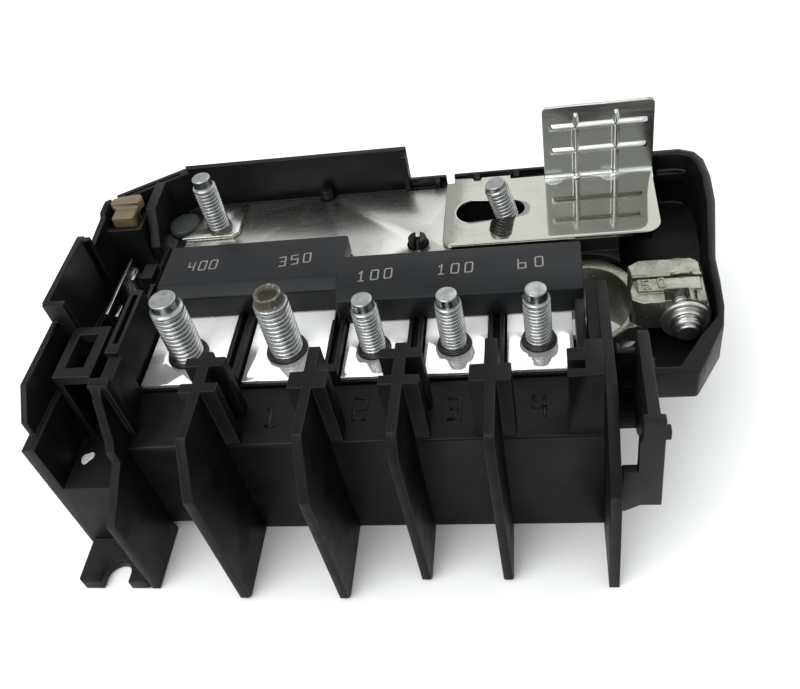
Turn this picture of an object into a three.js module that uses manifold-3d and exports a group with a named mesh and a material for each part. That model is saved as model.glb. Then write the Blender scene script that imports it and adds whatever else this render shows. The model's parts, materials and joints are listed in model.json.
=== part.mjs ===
// Battery-top fuse panel: a moulded carrier with a five-way bolt-down fuse, its studs and a battery post clamp.
// Millimetres, +Z up. Drawn from the first stud's axis at the top of the output tabs, then moved as a whole so
// that the origin lies on the battery post's axis at the height of the carrier's feet.
import * as THREE from "three";
import { mergeVertices } from "three/addons/utils/BufferGeometryUtils.js";
import Module from "manifold-3d";

const wasm = await Module();
wasm.setup();

// Driving dimensions
const GAP = 0.3; // clearance between neighbouring pieces
const FIT = 0.06; // clearance between a divider and the skirt it stands on
const FOOT_Z = -37; // underside of skirt, divider wings and foot
const HEAD_Z = 14; // top of the divider heads
const FLOOR_Z = -1.3; // carrier floor under the output tabs
const TAB_T = 1; // thickness of the output tabs
const BUS_Z0 = 2; // underside of the busbar
const BUS_Z1 = 3; // top of the busbar
const POST = { x: 93.8, y: 21.2 }; // battery post axis
const PINCH = { x: 113.6, z: 0 }; // pinch bolt axis, along Y
const REAR = { x: -1.6, y: 52.3 }; // rear stud axis
const BAYS = [
  { x: 0, left: -9.6, right: 10.7, y: 8.8, r: 4, top: 18.1, face: 20.5, back: 38.5 },
  { x: 24.4, left: 14.9, right: 34.6, y: 8.8, r: 4, top: 18.1, face: 20.5, back: 38.5 },
  { x: 45.1, left: 38.1, right: 53, y: 7.9, r: 3, top: 15.4, face: 15.8, back: 30.5 },
  { x: 63.5, left: 56.5, right: 71.2, y: 7.9, r: 3, top: 15.4, face: 15.8, back: 30.5 },
  { x: 82.2, left: 74.9, right: 89.9, y: 7.9, r: 3, top: 15.4, face: 15.8, back: 30.5 },
];
const RAILS = [
  { x: 12.8, double: true },
  { x: 36.35, double: false },
  { x: 54.75, double: true },
  { x: 73.05, double: false },
];
const SKIRT_Y = -16; // outer face of the skirt
const SKIRT_T = 2;
const SEAM_Y = -1.2; // where tray and skirt moulding meet
const WING_T = 2.2;
const WALL = 1.6; // thin carrier walls
const BACK_Y = 64.2; // inner face of the back wall
const SIDE_X = -30.3; // outer face of the side box

// Materials
const paint = (color, roughness, metalness = 0) =>
  new THREE.MeshStandardMaterial({ color, roughness, metalness });
const BLACK = () => paint(0x141516, 0.55);
const SLATE = () => paint(0x2e3438, 0.5);
const TIN = () => paint(0xd9dad2, 0.12, 1);
const CAST = () => paint(0xaaa996, 0.4, 0.9);
const ZINC = () => paint(0x9a9fa3, 0.32, 1);
const NYLON = () => paint(0xb08f6c, 0.6);

// A three.js geometry as a solid that can be joined and cut.
function solid(geometry) {
  geometry.deleteAttribute("normal");
  geometry.deleteAttribute("uv");
  const g = mergeVertices(geometry, 1e-4);
  const mesh = new wasm.Mesh({
    numProp: 3,
    vertProperties: g.attributes.position.array,
    triVerts: new Uint32Array(g.index.array),
  });
  return new wasm.Manifold(mesh);
}

// Joins a list of solids.
const join = (...parts) => parts.reduce((a, b) => a.add(b));

// Box between two corners.
function block(x0, x1, y0, y1, z0, z1) {
  const g = new THREE.BoxGeometry(x1 - x0, y1 - y0, z1 - z0);
  return solid(g.translate((x0 + x1) / 2, (y0 + y1) / 2, (z0 + z1) / 2));
}

function outline(points) {
  return new THREE.Shape(points.map(([a, b]) => new THREE.Vector2(a, b)));
}

// Shape in X and Y, raised along Z.
function prismZ(shape, z0, z1, curveSegments = 8) {
  const s = Array.isArray(shape) ? outline(shape) : shape;
  const g = new THREE.ExtrudeGeometry(s, { depth: z1 - z0, bevelEnabled: false, curveSegments });
  return solid(g.translate(0, 0, z0));
}

// Shape in Y and Z, drawn out along X.
function prismX(points, x0, x1) {
  const g = new THREE.ExtrudeGeometry(outline(points), { depth: x1 - x0, bevelEnabled: false });
  const turn = new THREE.Matrix4().makeBasis(
    new THREE.Vector3(0, 1, 0),
    new THREE.Vector3(0, 0, 1),
    new THREE.Vector3(1, 0, 0),
  );
  return solid(g.applyMatrix4(turn).translate(x0, 0, 0));
}

// Shape in X and Z, drawn out along Y.
function prismY(shape, y0, y1, curveSegments = 8) {
  const s = Array.isArray(shape) ? outline(shape) : shape;
  const g = new THREE.ExtrudeGeometry(s, { depth: y1 - y0, bevelEnabled: false, curveSegments });
  const turn = new THREE.Matrix4().makeBasis(
    new THREE.Vector3(1, 0, 0),
    new THREE.Vector3(0, 0, 1),
    new THREE.Vector3(0, -1, 0),
  );
  return solid(g.applyMatrix4(turn).translate(0, y1, 0));
}

// Profile of radius and height, turned about a vertical axis; it starts and ends on the axis or is closed.
function turned(profile, x, y, segments = 24) {
  const g = new THREE.LatheGeometry(
    profile.map(([r, z]) => new THREE.Vector2(r, z)),
    segments,
  );
  g.rotateX(Math.PI / 2);
  return solid(g.translate(x, y, 0));
}

const rod = (r, x, y, z0, z1, segments = 24) =>
  turned([[0, z0], [r, z0], [r, z1], [0, z1]], x, y, segments);

// Round bar along Y.
function rodY(r, x, z, y0, y1, segments = 24) {
  const g = new THREE.CylinderGeometry(r, r, y1 - y0, segments);
  return solid(g.translate(x, (y0 + y1) / 2, z));
}

// Upright elliptical tube wall from a list of rings [half width, half depth, height], closed top and bottom.
function ovalBar(x, y, rings, segments = 32) {
  const position = [];
  const index = [];
  rings.forEach(([rx, ry, z]) => {
    for (let i = 0; i < segments; i++) {
      const a = (2 * Math.PI * i) / segments;
      position.push(x + rx * Math.cos(a), y + ry * Math.sin(a), z);
    }
  });
  for (let k = 0; k + 1 < rings.length; k++)
    for (let i = 0; i < segments; i++) {
      const a = k * segments + i;
      const b = k * segments + ((i + 1) % segments);
      index.push(a, b, b + segments, a, b + segments, a + segments);
    }
  const top = (rings.length - 1) * segments;
  for (let i = 1; i + 1 < segments; i++) {
    index.push(0, i + 1, i);
    index.push(top, top + i, top + i + 1);
  }
  const g = new THREE.BufferGeometry();
  g.setAttribute("position", new THREE.Float32BufferAttribute(position, 3));
  g.setIndex(index);
  return solid(g);
}

const root = new THREE.Group();
root.name = "fuse_panel";

// Adds a finished solid to the group as a named mesh.
function piece(name, body, material) {
  const m = body.getMesh();
  const position = new Float32Array(m.numVert * 3);
  for (let i = 0; i < m.numVert; i++)
    position.set(m.vertProperties.subarray(i * m.numProp, i * m.numProp + 3), i * 3);
  let g = new THREE.BufferGeometry();
  g.setAttribute("position", new THREE.BufferAttribute(position, 3));
  g.setIndex(new THREE.BufferAttribute(new Uint32Array(m.triVerts), 1));
  g = g.toNonIndexed();
  g.computeVertexNormals();
  const mesh = new THREE.Mesh(g, material);
  mesh.name = name;
  root.add(mesh);
}

// Clear space round the post clamp's ring, up to a given height.
const clampRoom = (z1) => ovalBar(POST.x, POST.y + 1, [[12.6, 14.4, -40], [12.6, 14.4, z1]]);

// Carrier tray: floor under the tabs and the busbar, rails between the tabs, back wall with its low rim.
function carrierTray() {
  const floor = block(-13.5, 92.3, SEAM_Y + GAP, 31, -5, FLOOR_Z);
  const busSeat = prismZ(
    [[-13.5, 30.3], [37.1, 30.3], [37.1, 24.8], [92.3, 24.8], [92.3, 65.8], [-13.5, 65.8]],
    -5,
    BUS_Z0 - GAP,
  );
  const plateSeat = block(64.2, 110.5, 38.5, 65.8, -5, BUS_Z1 - GAP);
  let tray = join(floor, busSeat, plateSeat);
  for (const rail of RAILS) {
    const end = rail.x < 36 ? 20 : 15.3;
    const half = rail.x < 36 ? 1.8 : 1.6;
    tray = tray.add(block(rail.x - half, rail.x + half, SEAM_Y + GAP, end, -2, 2.4));
    tray = tray.subtract(block(rail.x - 0.6, rail.x + 0.6, 1.5, end + 0.1, 0.4, 3));
  }
  tray = tray.add(block(90.2, 92.3, SEAM_Y + GAP, 14, -2, 6));
  tray = tray.add(block(-13.5, -10.2, SEAM_Y + GAP, 19.5, -2, 11.7));
  tray = tray.subtract(block(-12.4, -11.2, 2, 18, 4, 12));
  const backWall = prismZ([[-10.4, BACK_Y], [49.8, BACK_Y], [49.8, 65.8], [-11.4, 65.8]], -5, 14.5);
  const backEnd = block(48.4, 49.8, 62.4, BACK_Y + 0.1, -2, 13.2);
  const corner = prismZ([[-27.4, 54.4], [-10.4, BACK_Y], [-11.4, 67.4], [-29.2, 57]], -5, 13);
  const groove = prismZ([[-26.4, 56.2], [-12.6, 64.2], [-13, 64.9], [-26.8, 56.9]], 11, 14);
  const clip = prismX([[44, -2], [44, 4.4], [47.5, 9], [50, 13], [60.8, 13.4], [60.8, -2]], -18.6, -15.8);
  const rim = block(49.7, 111.5, 64.6, 65.8, -5, 4.6);
  tray = join(tray, backWall, backEnd, corner.subtract(groove), clip, rim);
  for (const x of [57, 67.5, 77.8]) tray = tray.add(block(x - 0.7, x + 0.7, 62.9, 64.8, -2, 4.4));
  tray = tray.subtract(block(59.3, 61.4, 62.2, 66, 1.5, 6));
  // Round pegs that centre the busbar.
  tray = tray.add(rod(1.7, 27, 62.2, -2, 5.6, 20));
  tray = tray.add(rod(2.3, 53.3, 40, -2, 5, 20));
  tray = tray.subtract(block(52.75, 53.85, 37, 43, 2.6, 5.1));
  // Pocket that holds the loose stud's head, and room round the post clamp.
  tray = tray.subtract(block(62.4, 83.2, 42.4, 55.2, -3.4, 4));
  tray = tray.subtract(clampRoom(-1)).subtract(block(90, 112, 30, 45, -8, BUS_Z1));
  // Web and lip that cover the clamp's strap in front of the cable plate.
  const web = block(89.5, 101.8, 31.4, 38.6, -2.7, -1.1).add(block(92, 101.8, 37.4, 38.6, -2.7, BUS_Z1 - GAP));
  return tray.add(web.subtract(clampRoom(6)));
}

// Height of the apron's sloping top at a given depth, plus the fit.
const apronTop = (y) => -1.8 - (2.2 * (SEAM_Y - y)) / (SEAM_Y - SKIRT_Y - 0.4) + FIT;

// Part of a divider that stands on the apron: an upright block whose underside follows the slope.
function onApron(x0, x1, y0, y1, top = HEAD_Z) {
  return prismX([[y0, apronTop(y0)], [y1, apronTop(y1)], [y1, top], [y0, top]], x0, x1);
}

// One divider head: a cross of flanges on the wing's top edge, hollow between its flanges where it is double.
function dividerHead(x, double) {
  const web = onApron(x - 1.3, x + 1.3, -15.5, -4.2);
  if (!double) {
    const cross = onApron(x - 4.2, x + 4, -15.5, -11);
    return join(web, cross, onApron(x - 1.1, x + 1.1, -11.5, -5.2));
  }
  const rear = onApron(x - 4.4, x + 4.4, -8.4, -5.8);
  const front = onApron(x - 4, x + 4.4, -15.5, -13);
  return join(web, rear, front);
}

// Divider: a wing in front of the skirt and a head on the apron, joined above the skirt's upper edge.
// The wing's side profile has a level top, a sloping shoulder, a plumb front edge and a level bottom.
function divider(rail, reach, shoulderY, shoulderZ) {
  const profile = [
    [SKIRT_Y - FIT, FOOT_Z],
    [SKIRT_Y - FIT, -4.2],
    [-15.4, apronTop(-15.4)],
    [-15.4, HEAD_Z],
    [shoulderY, HEAD_Z],
    [shoulderY - 1, HEAD_Z - 0.8],
    [reach, shoulderZ],
    [reach, FOOT_Z + 1.2],
    [reach + 1.2, FOOT_Z],
  ];
  const wing = prismX(profile, rail.x - WING_T / 2, rail.x + WING_T / 2);
  return wing.add(dividerHead(rail.x, rail.double));
}

// Left end divider with its stepped front edge.
function leftDivider() {
  const profile = [
    [SKIRT_Y - FIT, FOOT_Z],
    [SKIRT_Y - FIT, -4.2],
    [-15.4, apronTop(-15.4)],
    [-10.4, apronTop(-10.4)],
    [-10.4, HEAD_Z],
    [-12.2, HEAD_Z],
    [-14.6, HEAD_Z - 2.2],
    [-18.7, 2],
    [-20.2, 0.4],
    [-20.2, -3],
    [-32.5, -9.6],
    [-32.5, FOOT_Z],
  ];
  const head = onApron(-12.4, -7.8, -12.8, -10.2);
  return join(prismX(profile, -11.4, -9.2), head, onApron(-12.4, -9.2, -12, SEAM_Y - FIT, 11));
}

// Right end divider: half a head, the long wall behind it and its wing.
function rightDivider() {
  const profile = [
    [11.8, -1.2],
    [11.8, HEAD_Z - 1],
    [-17.5, HEAD_Z],
    [-19.5, HEAD_Z - 1.2],
    [-32, -2.5],
    [-32, FOOT_Z],
    [SKIRT_Y - FIT, FOOT_Z],
    [SKIRT_Y - FIT, -4.2],
    [-15.4, apronTop(-15.4)],
    [SEAM_Y, apronTop(SEAM_Y)],
    [2, -1.2],
  ];
  const wing = prismX(profile, 94.6, 96.8);
  const level = apronTop(SEAM_Y);
  const lining = prismX(
    [[-12, apronTop(-12)], [SEAM_Y, level], [11.8, level], [11.8, HEAD_Z - 3], [-12, HEAD_Z - 3]],
    92.6,
    94.8,
  );
  const head = onApron(91.2, 94.8, -15.5, -5.8);
  const arms = join(onApron(87.8, 91.4, -11.2, -8), onApron(87.8, 91.4, -15.5, -13.4));
  return join(wing, lining, head, arms).subtract(clampRoom(-1));
}

// Skirt moulding: sloping apron in front of the tabs and the upright skirt, shorter in the first bay.
function frontSkirt() {
  const profile = [
    [SEAM_Y, -5.4],
    [SEAM_Y, -1.8],
    [SKIRT_Y + 0.4, -4],
    [SKIRT_Y, -4.4],
    [SKIRT_Y, FOOT_Z],
    [SKIRT_Y + SKIRT_T, FOOT_Z],
    [SKIRT_Y + SKIRT_T, -6.4],
  ];
  return prismX(profile, -11.4, 96.8).subtract(block(-12, 2, -20, -10, FOOT_Z - 1, -34));
}

// Box at the left end: outer wall with its raised channel, front panel, floor and the slotted foot.
function sideBox() {
  const x0 = SIDE_X;
  const outer = prismX(
    [
      [-20.7, FOOT_Z],
      [-20.7, 1.8],
      [-16, 0.6],
      [-16, 6.4],
      [-9.6, 12],
      [9.8, 12],
      [10.2, 17.6],
      [34.4, 17.6],
      [35.4, 12.3],
      [46.8, 13.3],
      [47.6, 14.4],
      [52, 14.6],
      [52, -20],
    ],
    x0,
    x0 + WALL,
  );
  const lining = prismX([[-20.7, FOOT_Z], [-20.7, 2.6], [-7, 2.6], [52, -4], [52, -20]], x0, x0 + 3.2);
  const channel = join(
    block(x0, x0 + 5.4, 9.8, 11.4, -4, 17.2),
    block(x0, x0 + 3.4, 32.8, 34.4, -4, 17.2),
  );
  const panel = block(x0, -11.8, -20.7, -19.1, FOOT_Z, -12.2);
  const ledge = block(x0, -11.8, -20.7, -6, -13.8, -12.2);
  const floor = prismZ([[x0, -8], [-13.9, -8], [-13.9, 60], [-28.4, 52], [x0, 52]], -16, -14.4);
  const inner = block(-15.4, -13.9, -8, 46, -16, 3);
  const rear = prismZ([[x0, 50.4], [-28.8, 50.4], [-28.8, 53.4], [x0, 52.4]], -16, 14.6);
  let box = join(outer, lining, channel, panel, ledge, floor, inner, rear);
  // Bracket for the plug in the chamfered corner.
  box = box.add(block(-29, -19.2, 44.4, 46, -15, 10.6));
  box = box.add(block(-20.6, -19.2, 44.4, 52, -15, 10.6));
  box = box.add(block(-17.4, -14, 31, 36.4, -15, 5.4));
  // Foot with a slot open to the front.
  const foot = new THREE.Shape();
  foot.moveTo(-29.4, -20);
  foot.lineTo(-29.4, -31.4);
  foot.lineTo(-28.2, -32.4);
  foot.lineTo(-23.5, -32.4);
  foot.lineTo(-23.5, -30.2);
  foot.absarc(-20, -30.2, 3.5, Math.PI, 0, true);
  foot.lineTo(-16.5, -32.4);
  foot.lineTo(-11.8, -32.4);
  foot.lineTo(-11.8, -20);
  return box.add(prismZ(foot, FOOT_Z, FOOT_Z + 3, 12));
}

// Open rectangular frame standing in the side box, with its two legs.
function sideFrame() {
  const ring = block(-25.2, -15.8, -6.2, 9.6, 7.4, 10).subtract(block(-22.9, -18.4, -3.2, 7, 7, 11));
  const frontLeg = block(-25.2, -23.4, -6.2, -4.6, -11.8, 7.6);
  const rearLegs = join(block(-17.6, -15.8, 7.8, 9.6, -14.1, 7.6), block(-25.2, -23.4, 8, 9.6, -14.1, 7.6));
  return join(ring, frontLeg, rearLegs);
}

// Bracket at the right end: upright bar beside the last wing and a front plate with a window beside it.
function endBracket() {
  const bar = prismX(
    [[-25, 4], [-25, 14], [-4.6, 14], [-3, 12.8], [-2.4, 10.6], [-2.4, -9], [-12, -9]],
    101.4,
    103.7,
  );
  const plate = prismY(
    [
      [97.1, -15],
      [98.1, -14.6],
      [100.8, -12.7],
      [104.9, -12.7],
      [104.6, 14],
      [100.6, 14],
      [100.6, 8.9],
      [100, 7.4],
      [100, -1.3],
      [97.1, -1.3],
    ],
    -27,
    -25,
  );
  const nib = block(104, 105.6, -27, -25, 8.6, 11);
  const tie = block(97.1, 103.6, -10.6, -1.9, -9, -6);
  return join(bar, plate, nib, tie);
}

// Open-topped hood round the battery clamp: its rim and its underside slope towards a low front wall.
function batteryHood() {
  const shape = [
    [97.4, 68.2],
    [119, 68.2],
    [122.6, 66.4],
    [124.4, 62.8],
    [125, 56],
    [124.6, 46],
    [121.6, 26],
    [121.4, 12],
    [120.6, 7],
    [114.4, -4.4],
    [104.2, -4.4],
    [104.2, -1.6],
    [97.4, -1.6],
  ];
  const hollow = [
    [98.9, 66],
    [118.4, 66],
    [120.8, 64.8],
    [122.2, 62],
    [122.9, 56],
    [122.5, 46.2],
    [120, 26.4],
    [119.9, 14],
    [119.6, 9.5],
    [115.6, 4.6],
    [110.6, -2.4],
    [106, -2.4],
    [106, 0.2],
    [98.9, 0.2],
  ];
  const under = (z) => prismX([[-6, z], [-6, -14], [44, -14], [44, z - 5.1]], 96, 126);
  let hood = prismZ(shape, -12, 5).subtract(under(-6.9));
  hood = hood.subtract(prismZ(hollow, -10.4, 6).subtract(under(-5.3)));
  hood = hood.subtract(prismX([[20, 5.2], [-6, 0.6], [-6, 6]], 103, 126));
  hood = hood.subtract(block(97, 99.2, 1.5, 46, -13, 6));
  hood = hood.add(block(112.6, 121.8, 64.4, 66.2, -3, 0));
  const plateRoom = block(90, 113, 36.4, 66.1, -6, 6);
  return hood.subtract(clampRoom(6)).subtract(plateRoom);
}

// Moulded fuse body over the links: chamfered front, stepped rear, and under it one channel for each link.
function fuseBody() {
  const deep = [[20.5, 0.3], [20.5, 6.9], [24, 8.6], [38.4, 8.6], [38.4, 3.3], [30, 3.3], [30, 0.3]];
  const short = [[15.8, 0.3], [15.8, 7.3], [20.2, 8.6], [30.4, 8.6], [30.4, 3.3], [24.4, 3.3], [24.4, 0.3]];
  let body = join(prismX(deep, -9.4, 36.8), prismX(short, 36.2, 92.4));
  for (const bay of BAYS)
    body = body.subtract(block(bay.x - 3.6, bay.x + 3.6, bay.face + 1.9, bay.back + 1, 0, 3.3));
  return body.subtract(block(-9.5, 92.5, 24.4, 42, 1, 3.3));
}

// Tin-plated busbar: long rear strip, narrow front strip behind the small fuses, holes for the two pegs.
function busbar() {
  const plan = [
    [-10, 44],
    [-4, 38.6],
    [-4, 30.3],
    [37, 30.3],
    [37, 24.8],
    [91.6, 24.8],
    [91.6, 36.4],
    [61.8, 36.4],
    [61.8, 62],
    [-7.2, 62],
    [-7.4, 54],
    [-8.4, 50],
    [-10, 47],
  ];
  const strip = prismZ(plan, BUS_Z0, BUS_Z1);
  const holes = join(rod(2.7, 53.3, 40, 1, 4, 20), rod(2.2, 27, 62.2, 1, 4, 20));
  return strip.subtract(holes);
}

// Output tab: flat pad that runs under the front of the fuse body, turned up there to meet its link; holed for
// its stud.
function outputTab(bay) {
  const pad = block(bay.left + GAP, bay.right - GAP, -0.8, bay.face + 3.2, -TAB_T, 0);
  const neck = block(bay.x - 3.2, bay.x + 3.2, bay.face + 2.2, bay.face + 3.2, -0.5, 2.9);
  return join(pad, neck).subtract(rod(bay.r + 0.9, bay.x, bay.y, -3, 2));
}

// Fusible link between busbar and tab, inside the fuse body.
function fuseLink(bay) {
  const y0 = bay.face + 3.5;
  const y1 = (bay.face > 18 ? 30.3 : 24.8) - GAP;
  const strip = block(bay.x - 2.4, bay.x + 2.4, y0, y1, 2.1, 2.9);
  const neck = block(bay.x - 3, bay.x - 0.8, (y0 + y1) / 2 - 0.8, (y0 + y1) / 2 + 0.8, 1.9, 3.1);
  return strip.subtract(neck).subtract(neck.translate([3.8, 0, 0]));
}

// Stud with a plain dog point and a pressed-in root under the tab.
function stud(r, x, y, z0, z1) {
  const point = r * 0.79;
  const profile = [
    [0, z0],
    [r * 0.92, z0],
    [r, z0 + 0.6],
    [r, z1 - 2.9],
    [point, z1 - 2.1],
    [point, z1 - 0.4],
    [point - 0.4, z1],
    [0, z1],
  ];
  return turned(profile, x, y);
}

// Thin collar pressed round a stud, through the tab's hole.
function collar(bay) {
  const r0 = bay.r + 0.05;
  const r1 = bay.r + 0.75;
  const z0 = FLOOR_Z + GAP;
  return turned([[r0, z0], [r1, z0], [r1, 0.7], [r1 - 0.3, 1], [r0, 1], [r0, z0]], bay.x, bay.y);
}

// Rear edge of the cable plate, from right to left, with its notches round the rim's blocks.
const REAR_EDGE = [
  [111.8, 62.4],
  [76.2, 62.4],
  [76.2, 64.3],
  [68.6, 64.3],
  [68.4, 62.6],
  [66.6, 62.6],
  [66, 64.3],
  [61.5, 64.3],
  [61.5, 62],
];

// Flat cable plate with its tapering slot; its rear is turned up as a ribbed shield.
function topPlate() {
  const plan = new THREE.Shape();
  plan.moveTo(59.6, 62);
  plan.lineTo(59.6, 39.4);
  plan.absarc(62, 39.4, 2.4, Math.PI, 1.5 * Math.PI, false);
  plan.lineTo(107.6, 37);
  plan.absarc(107.6, 41, 4, 1.5 * Math.PI, 2 * Math.PI, false);
  for (const [x, y] of REAR_EDGE) plan.lineTo(x, y);
  const slot = new THREE.Path();
  slot.absarc(67, 49.7, 4.4, 0.53 * Math.PI, 1.47 * Math.PI, false);
  slot.lineTo(76, 46.7);
  slot.absarc(76.4, 49.8, 3.3, 1.5 * Math.PI, 0.5 * Math.PI, false);
  plan.holes.push(slot);
  let plate = prismZ(plan, BUS_Z1 + 0.1, 4.1);
  const bend = [[60.6, 3.1], [62.4, 3.1], [62.4, 24.2], [61.4, 24.2], [61.4, 5.1], [60.6, 4.1]];
  plate = plate.add(prismX(bend, 85, 111.7));
  for (const z of [11.8, 18.6]) plate = plate.add(block(87, 109.8, 60.8, 61.5, z - 0.9, z + 0.9));
  for (const x of [93, 102.6]) plate = plate.add(block(x - 0.9, x + 0.9, 60.8, 61.5, 5, 20.6));
  return plate;
}

// Square base plate of the rear stud.
function busStudPlate() {
  const plan = [[-11, 47.2], [3.4, 47.2], [4.8, 48.8], [4.6, 61.4], [-6.8, 61.4], [-7.2, 54], [-8.2, 50]];
  return prismZ(plan, BUS_Z1 + 0.1, 4.1).subtract(rod(3.05, REAR.x, REAR.y, 2, 5));
}

// Cast post clamp: oval lead-in over a round tapered bore, split lug for the pinch bolt, rear strap under the
// cable plate. The lug has a raised band on top, a notch over the nut and a pocket for the bolt's head.
function clampBody() {
  const { x, y } = POST;
  const ring = ovalBar(x, y + 1, [[11, 12.6, -17], [11.8, 13.6, -14.6], [11.8, 13.6, -2.6], [11.4, 13.2, -2]]);
  const lug = prismZ(
    [[102.4, 13.6], [104.6, 12.4], [117.9, 12.4], [117.9, 25.4], [116.4, 27], [105, 27], [102, 25]],
    -3,
    5,
  );
  const band = block(103.8, 117.2, 15.4, 19.2, 4.9, 5.7);
  const boss = rodY(5.6, PINCH.x, PINCH.z, 12.4, 26.4, 28);
  const neck = prismZ([[99.6, 12], [106, 12.4], [106, 27], [99.6, 31]], -6.8, -2.2);
  const strap = block(92, 100.6, 31, 44, -7, -3.1).add(block(92, 100.6, 39, 44, -7, BUS_Z1 - GAP));
  let clamp = join(ring, lug, band, boss, neck, strap);
  const bore = ovalBar(x, y, [[9.7, 9.7, -18], [9, 9, -7], [9.3, 11.7, -1.8], [9.3, 11.7, 7]], 40);
  clamp = clamp.subtract(bore);
  clamp = clamp.subtract(block(101, 119, 21.4, 28, 4.2, 6));
  clamp = clamp.subtract(block(109.4, 114.4, 12, 15.8, 2, 6));
  clamp = clamp.subtract(block(100, 121, 19.6, 20.6, -12, 7));
  clamp = clamp.subtract(rodY(3.05, PINCH.x, PINCH.z, 11, 30));
  return clamp.subtract(rodY(4.1, PINCH.x, PINCH.z, 23.4, 28));
}

// Pinch bolt: shank through the lug, plain point in front and hexagon head in the lug's pocket.
function clampBolt() {
  const shank = rodY(3, PINCH.x, PINCH.z, 8.4, 24);
  const nose = rodY(2.4, PINCH.x, PINCH.z, 7.4, 8.6);
  const head = rodY(3.9, PINCH.x, PINCH.z, 23.7, 26.5, 6);
  return join(shank, nose, head);
}

// Flanged nut on the pinch bolt, in front of the lug.
function clampNut() {
  const flange = rodY(5.4, PINCH.x, PINCH.z, 11.1, 12.2, 28);
  const hex = rodY(4.2, PINCH.x, PINCH.z, 10, 11.2, 6);
  return flange.add(hex).subtract(rodY(3.05, PINCH.x, PINCH.z, 9, 13));
}

// Loose stud standing in the plate's slot, its flat head in the pocket below.
function slotStud() {
  const shank = stud(2.95, 0, 0, -5.4, 8.6).rotate([0, -13, 0]).translate([74.8, 49.6, 4]);
  return shank.add(block(72.4, 78.6, 45, 54.2, -3, -0.9)).add(rod(2.9, 75.6, 49.6, -2, 1.4));
}

// Push-in plug in the chamfered corner: wide head, square stem.
function plugInsert() {
  const head = prismZ(
    [[-28.3, 50.6], [-20.4, 50.6], [-19.6, 52], [-20.6, 54.4], [-26, 53.8], [-28.3, 53]],
    12,
    14.8,
  );
  return join(head, block(-27.2, -21, 46.3, 50.8, -2, 13), block(-27.2, -21, 46.3, 52, 11.4, 13.2));
}

const thinPlate = (x, y0, y1, z0, z1) => block(x - 0.4, x + 0.4, y0, y1, z0, z1);

piece("carrier_tray", carrierTray(), BLACK());
piece("front_skirt", frontSkirt(), BLACK());
piece("divider_1", leftDivider(), BLACK());
piece("divider_2", divider(RAILS[0], -35.4, -27.2, 3.4), BLACK());
piece("divider_3", divider(RAILS[1], -35.4, -27.2, 2.4), BLACK());
piece("divider_4", divider(RAILS[2], -30.8, -27.4, 9), BLACK());
piece("divider_5", divider(RAILS[3], -30.8, -28.6, 10), BLACK());
piece("divider_6", rightDivider(), BLACK());
piece("side_box", sideBox(), BLACK());
piece("side_frame", sideFrame(), BLACK());
piece("end_bracket", endBracket(), BLACK());
piece("battery_hood", batteryHood(), BLACK());
piece("fuse_body", fuseBody(), SLATE());
piece("busbar", busbar(), TIN());
BAYS.forEach((bay, i) => {
  const n = i + 1;
  piece("output_tab_" + n, outputTab(bay), TIN());
  piece("fuse_link_" + n, fuseLink(bay), TIN());
  piece("stud_" + n, stud(bay.r, bay.x, bay.y, FLOOR_Z + GAP, bay.top), ZINC());
  piece("stud_collar_" + n, collar(bay), paint(0x3a3a38, 0.5, 0.6));
});
piece("rear_stud_plate", busStudPlate(), TIN());
piece("rear_stud", stud(3, REAR.x, REAR.y, BUS_Z1 + 0.15, 19.5), ZINC());
piece("rear_disc", rod(3.2, -11.6, 53.6, BUS_Z0, 3.4), paint(0x3c4043, 0.5));
piece("top_plate", topPlate(), TIN());
piece("slot_stud", slotStud(), ZINC());
piece("clamp_body", clampBody(), CAST());
piece("clamp_bolt", clampBolt(), ZINC());
piece("clamp_nut", clampNut(), ZINC());
piece("plug_insert", plugInsert(), NYLON());
piece("side_strip", thinPlate(-23.4, 20, 41, -14.1, 4), TIN());
piece("side_contact_1", thinPlate(-20.8, 19.6, 23.4, -14.1, 3.4), TIN());
piece("side_contact_2", thinPlate(-20.8, 33, 36.8, -14.1, 3.4), TIN());

root.position.set(-POST.x, -POST.y, -FOOT_Z);
export default root;
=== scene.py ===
import json
import math

import bmesh
import bpy
import numpy as np
from mathutils import Matrix, Vector


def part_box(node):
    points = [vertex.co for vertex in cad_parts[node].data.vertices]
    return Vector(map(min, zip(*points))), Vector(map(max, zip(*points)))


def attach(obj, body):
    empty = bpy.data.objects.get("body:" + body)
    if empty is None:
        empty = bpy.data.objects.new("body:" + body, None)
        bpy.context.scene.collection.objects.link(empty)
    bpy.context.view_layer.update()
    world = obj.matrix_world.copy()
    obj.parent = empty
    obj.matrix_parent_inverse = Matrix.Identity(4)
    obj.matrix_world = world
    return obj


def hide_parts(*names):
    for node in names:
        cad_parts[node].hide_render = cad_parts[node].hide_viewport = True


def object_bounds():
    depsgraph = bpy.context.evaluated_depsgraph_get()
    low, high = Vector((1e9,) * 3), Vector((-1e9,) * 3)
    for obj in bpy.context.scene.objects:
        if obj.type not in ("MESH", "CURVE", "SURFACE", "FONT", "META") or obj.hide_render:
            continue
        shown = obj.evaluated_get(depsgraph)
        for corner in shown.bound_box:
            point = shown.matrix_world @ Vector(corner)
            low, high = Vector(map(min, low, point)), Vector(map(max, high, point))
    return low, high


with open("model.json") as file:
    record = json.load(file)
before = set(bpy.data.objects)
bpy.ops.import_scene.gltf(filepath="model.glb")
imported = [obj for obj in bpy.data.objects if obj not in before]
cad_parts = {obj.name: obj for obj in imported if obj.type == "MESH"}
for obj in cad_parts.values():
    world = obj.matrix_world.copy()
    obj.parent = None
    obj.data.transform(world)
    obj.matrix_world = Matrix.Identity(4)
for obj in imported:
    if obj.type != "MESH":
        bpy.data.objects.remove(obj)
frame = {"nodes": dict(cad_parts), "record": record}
CAD_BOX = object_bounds()

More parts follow.
